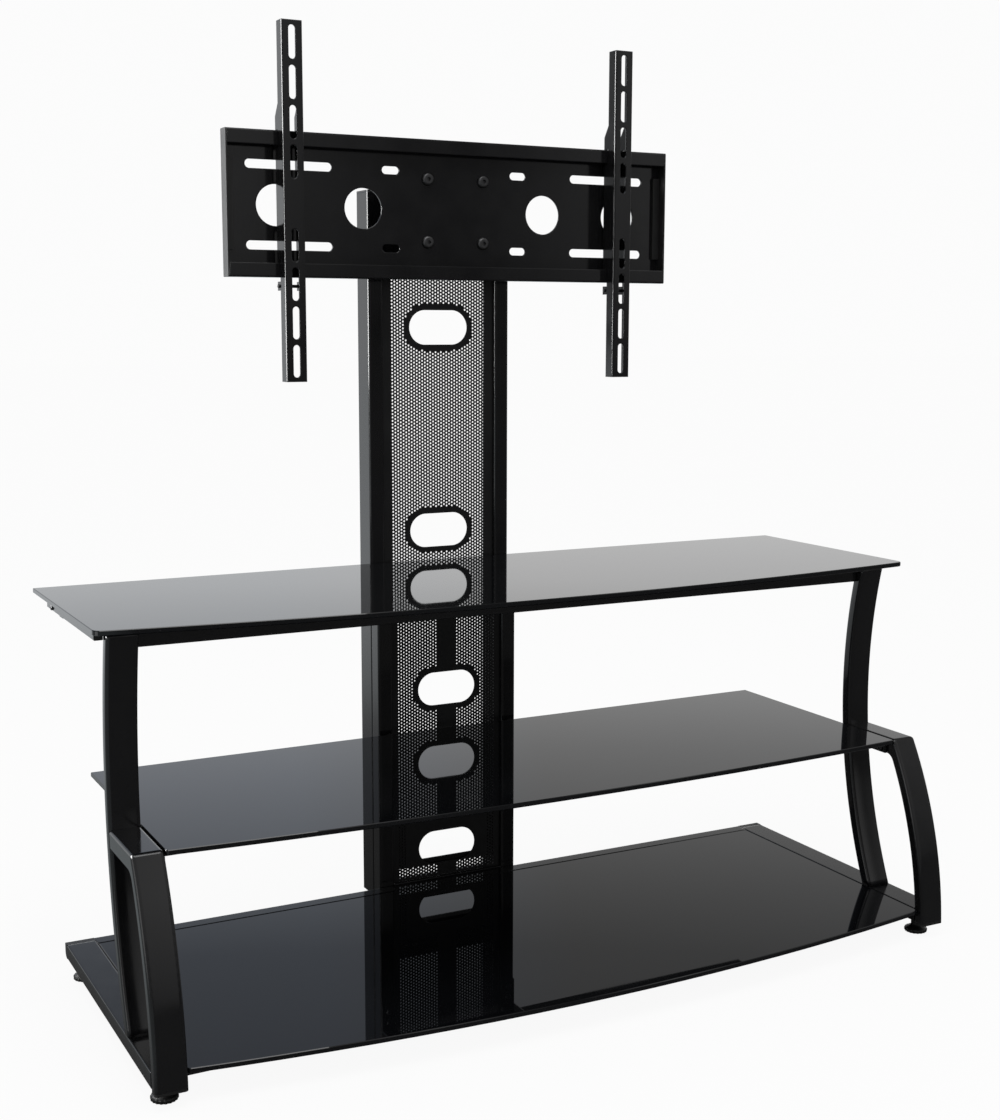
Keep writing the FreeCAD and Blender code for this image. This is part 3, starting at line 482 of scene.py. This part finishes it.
def perforated_screen(node, field_x, hole_r, ovals_z, strip_x):
    """A sheet with fine holes in place of the plain one, with the same ovals and thickness."""
    low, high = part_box(node)
    holes = pattern_holes(low.z, high.z, field_x, ovals_z, strip_x)
    cells = {place: hex_cell(x, z) for place, (x, z) in holes.items()}
    border = [(low.x, low.z), (high.x, low.z), (high.x, high.z), (low.x, high.z)]
    ovals = [oval_ring(oval_z) for oval_z in ovals_z]
    builder = bmesh.new()
    made = {}

    def vertex(x, z):
        key = place_key(x, z)
        if key not in made:
            made[key] = builder.verts.new((x, low.y, z))
        return made[key]

    # The plain sheet is filled between its border, the ovals and the outlines of the cells
    points, edges = join_loops([*cells.values(), border, *ovals])
    verts, _, faces, _, _, _ = delaunay_2d_cdt(points, edges, [], FILL_WITH_TRIANGLES, WELD_TOLERANCE)
    for face in faces:
        corners = [verts[index] for index in face]
        x = sum(corner.x for corner in corners) / len(corners)
        z = sum(corner.y for corner in corners) / len(corners)
        in_oval = any(inside_oval(x, z, oval_z, 0.0) for oval_z in ovals_z)
        if not in_oval and nearest_place(x, z, low.z) not in holes:
            builder.faces.new([vertex(corner.x, corner.y) for corner in corners])
    for place, (x, z) in holes.items():
        outer = [vertex(*corner) for corner in cells[place]]
        inner = [vertex(*corner) for corner in hole_ring(x, z, hole_r)]
        fill_ring(builder, outer, inner)
    thicken(builder, high.y - low.y)
    piece_from(builder, f"perforated_{node}", "stand", "black_screen", node)


perforated_screen("upper_screen", UPPER_FIELD_X, UPPER_HOLE_R, UPPER_OVALS_Z, NO_STRIP_X)
perforated_screen("lower_screen", LOWER_FIELD_X, LOWER_HOLE_R, LOWER_OVALS_Z, LOWER_STRIP_X)


# Leaning uprights, with even facets so that the light runs smoothly along their rounded edges
def tube_section(width, depth, edge_r):
    """Outline of a rounded rectangle as (across, deep) points from its corner."""
    corners = [(width - edge_r, depth - edge_r, 0), (edge_r, depth - edge_r, 1),
               (edge_r, edge_r, 2), (width - edge_r, edge_r, 3)]
    outline = []
    for across, deep, quarter in corners:
        for step in range(EDGE_STEPS + 1):
            angle = math.pi / 2 * (quarter + step / EDGE_STEPS)
            outline.append((across + edge_r * math.cos(angle), deep + edge_r * math.sin(angle)))
    return outline


def skin_rings(builder, rings):
    """Close the first and last ring and join each ring to the next."""
    builder.faces.new(rings[0])
    builder.faces.new(rings[-1])
    for lower, upper in zip(rings, rings[1:]):
        for side, corner in enumerate(lower):
            following = (side + 1) % len(lower)
            builder.faces.new([corner, lower[following], upper[following], upper[side]])
    bmesh.ops.recalc_face_normals(builder, faces=builder.faces)


def smooth_upright(node):
    """The same bent tube, with smooth sides and flat ends."""
    low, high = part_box(node)
    axis_y = high.y - UPRIGHT_R - UPRIGHT_D
    builder = bmesh.new()
    rings = []
    for slice_index in range(UPRIGHT_SLICES + 1):
        z = low.z + (high.z - low.z) * slice_index / UPRIGHT_SLICES
        ring = []
        for across, deep in tube_section(high.x - low.x, UPRIGHT_D, UPRIGHT_EDGE_R):
            y = axis_y + math.sqrt((UPRIGHT_R + deep) ** 2 - (z - UPRIGHT_BACK_Z) ** 2)
            ring.append(builder.verts.new((low.x + across, y, z)))
        rings.append(ring)
    skin_rings(builder, rings)
    piece = piece_from(builder, f"smooth_{node}", "stand", "gloss_black", node)
    for polygon in piece.data.polygons:
        polygon.use_smooth = len(polygon.vertices) == QUAD_CORNERS


for node in ("left_upright", "right_upright"):
    smooth_upright(node)


# Levelling feet: a ribbed rim, a domed top, a neck and the stud that goes up into the rail
def foot_section(rim_r, stud_top):
    """Points (radius, height, share of the rib depth) from the rim of the sole to the top of the stud."""
    rounding = FOOT_RIM_ROUND
    middle = ROUND_MIDDLE_SHARE * rounding
    shoulder_r = (rim_r + FOOT_NECK_R) / 2
    return [
        (rim_r - SOLE_INSET_SHARE * rounding, 0.0, 0.0),
        (rim_r - middle, middle, 1.0),
        (rim_r, rounding, 1.0),
        (rim_r, FOOT_RIM_H - rounding, 1.0),
        (rim_r - middle, FOOT_RIM_H - middle, 1.0),
        (rim_r - SHOULDER_INSET_SHARE * rounding, FOOT_RIM_H, 0.0),
        (shoulder_r, FOOT_RIM_H + SHOULDER_RISE_SHARE * rounding, 0.0),
        (FOOT_NECK_R + rounding, FOOT_DOME_H - rounding, 0.0),
        (FOOT_NECK_R, FOOT_DOME_H, 0.0),
        (FOOT_NECK_R, FOOT_NECK_TOP, 0.0),
        (FOOT_STUD_R, FOOT_NECK_TOP, 0.0),
        (FOOT_STUD_R, stud_top, 0.0),
    ]


def ribbed_foot(node):
    """A foot of the same height and width, with grooves round its rim."""
    low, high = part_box(node)
    centre = (low + high) / 2
    builder = bmesh.new()
    sides = FOOT_RIBS * FOOT_SIDES_PER_RIB
    rings = []
    for radius, height, rib_share in foot_section((high.x - low.x) / 2, high.z - low.z):
        ring = []
        for side in range(sides):
            angle = 2 * math.pi * side / sides
            groove = rib_share * FOOT_RIB_DEPTH * (1 - math.cos(FOOT_RIBS * angle)) / 2
            x = centre.x + (radius - groove) * math.cos(angle)
            y = centre.y + (radius - groove) * math.sin(angle)
            ring.append(builder.verts.new((x, y, low.z + height)))
        rings.append(ring)
    skin_rings(builder, rings)
    piece_from(builder, f"ribbed_{node}", node, "black_plastic", node)


for node in node_slots:
    if node.endswith("_foot"):
        ribbed_foot(node)


# Stage: a plain pale floor that reads as white, a studio that is dim behind the camera, lamps and camera
def make_floor():
    """White to the camera; reflections see it fade from white far behind the stand to painted shade, dark
    beside it.
    """
    builder = bmesh.new()
    bmesh.ops.create_grid(builder, x_segments=1, y_segments=1, size=FLOOR_SIZE)
    mesh = bpy.data.meshes.new("floor")
    builder.to_mesh(mesh)
    builder.free()
    floor = bpy.data.objects.new("floor", mesh)
    bpy.context.scene.collection.objects.link(floor)
    material = bpy.data.materials.new("floor")
    material.use_nodes = True
    tree = material.node_tree
    tree.nodes.clear()
    output = tree.nodes.new("ShaderNodeOutputMaterial")
    diffuse = tree.nodes.new("ShaderNodeBsdfDiffuse")
    diffuse.inputs["Color"].default_value = (*FLOOR_COLOUR, 1.0)
    glow = tree.nodes.new("ShaderNodeEmission")
    path = tree.nodes.new("ShaderNodeLightPath").outputs
    place = add_axes(tree, tree.nodes.new("ShaderNodeNewGeometry").outputs["Position"])
    # Painted shade for reflections: the floor glows dark near and in front of the stand, grey beside it
    # and white far behind
    fade = add_range(tree, place["Y"], 0.0, 1.0, FLOOR_NEAR_Y, FLOOR_FAR_Y)
    beside = add_range(tree, place["X"], 1.0, 0.0, FLOOR_SIDE_TO_X, FLOOR_SIDE_FROM_X)
    reflected = add_mix(tree, fade, add_mix(tree, beside, FLOOR_NEAR, FLOOR_SIDE), FLOOR_FAR)
    tree.links.new(add_mix(tree, path["Is Glossy Ray"], WHITE, reflected), glow.inputs["Color"])
    direct = add_math(tree, "MAXIMUM", path["Is Camera Ray"], path["Is Glossy Ray"])
    direct = add_math(tree, "MAXIMUM", direct, path["Is Transmission Ray"])
    mix = tree.nodes.new("ShaderNodeMixShader")
    tree.links.new(add_math(tree, "MULTIPLY", direct, FLOOR_GLOW_SHARE), mix.inputs["Fac"])
    tree.links.new(diffuse.outputs[0], mix.inputs[1])
    tree.links.new(glow.outputs[0], mix.inputs[2])
    tree.links.new(mix.outputs[0], output.inputs["Surface"])
    mesh.materials.append(material)


def make_world():
    """White to the camera; reflections see a backdrop that darkens upwards and a dim room in front."""
    world = bpy.data.worlds.new("studio")
    bpy.context.scene.world = world
    world.use_nodes = True
    tree = world.node_tree
    tree.nodes.clear()
    output = tree.nodes.new("ShaderNodeOutputWorld")
    background = tree.nodes.new("ShaderNodeBackground")
    path = tree.nodes.new("ShaderNodeLightPath").outputs
    direction = add_axes(tree, tree.nodes.new("ShaderNodeTexCoord").outputs["Generated"])
    to_right = add_range(tree, direction["X"], 0.0, 1.0, COOL_X, NEUTRAL_X)
    cool = add_ramp(tree, direction["Z"], COOL_BACKDROP)
    neutral = add_ramp(tree, direction["Z"], greys(NEUTRAL_BACKDROP))
    left_end = add_range(tree, direction["X"], BACKDROP_END_LEVEL, 1.0, BACKDROP_END_X, BACKDROP_FULL_X)
    backdrop = add_product(tree, add_mix(tree, to_right, cool, neutral), left_end)
    strips = add_ramp(tree, direction["X"], greys(ROOM_STRIPS))
    room = add_product(tree, add_ramp(tree, direction["Z"], greys(ROOM_LEVELS)), strips)
    behind = add_range(tree, direction["Y"], 0.0, 1.0, -SIDE_BLEND, SIDE_BLEND)
    studio = add_mix(tree, behind, room, backdrop)
    light = add_mix(tree, path["Is Glossy Ray"], AMBIENT, studio)
    direct = add_math(tree, "MAXIMUM", path["Is Camera Ray"], path["Is Transmission Ray"])
    tree.links.new(add_mix(tree, direct, light, BACKGROUND), background.inputs["Color"])
    tree.links.new(background.outputs[0], output.inputs["Surface"])


def add_softbox(name, at, aim, width, height, watts, reflected_only):
    """A lamp that the camera doesn't see, for all light or only for reflections."""
    lamp = bpy.data.lights.new(name, "AREA")
    lamp.shape = "RECTANGLE"
    lamp.size = width
    lamp.size_y = height
    lamp.energy = watts
    softbox = bpy.data.objects.new(name, lamp)
    softbox.location = at
    softbox.rotation_mode = "QUATERNION"
    softbox.rotation_quaternion = (Vector(aim) - Vector(at)).to_track_quat("-Z", "Y")
    softbox.visible_camera = False
    softbox.visible_diffuse = not reflected_only
    if reflected_only:
        lamp.use_nodes = True
        tree = lamp.node_tree
        depth = tree.nodes.new("ShaderNodeLightPath").outputs["Ray Depth"]
        seen = add_math(tree, "LESS_THAN", depth, DEEPER_REFLECTION)
        tree.links.new(seen, tree.nodes["Emission"].inputs["Strength"])
    bpy.context.scene.collection.objects.link(softbox)


def make_camera():
    """The photograph's point of view."""
    camera_data = bpy.data.cameras.new("camera")
    camera_data.sensor_width = SENSOR_MM
    camera_data.lens = FOCAL_PX * SENSOR_MM / max(IMAGE_W, IMAGE_H)
    camera_data.clip_end = CAMERA_REACH
    camera = bpy.data.objects.new("camera", camera_data)
    bpy.context.scene.collection.objects.link(camera)
    forward = CAMERA_FORWARD.normalized()
    right = (CAMERA_RIGHT - CAMERA_RIGHT.dot(forward) * forward).normalized()
    up = right.cross(forward)
    turn = Matrix((right, up, -forward)).transposed().to_4x4()
    camera.matrix_world = Matrix.Translation(CAMERA_AT) @ turn
    bpy.context.scene.camera = camera


make_floor()
make_world()
for name, setup in SOFTBOXES.items():
    add_softbox(name, **setup)
make_camera()
bpy.context.scene.view_settings.view_transform = "Standard"
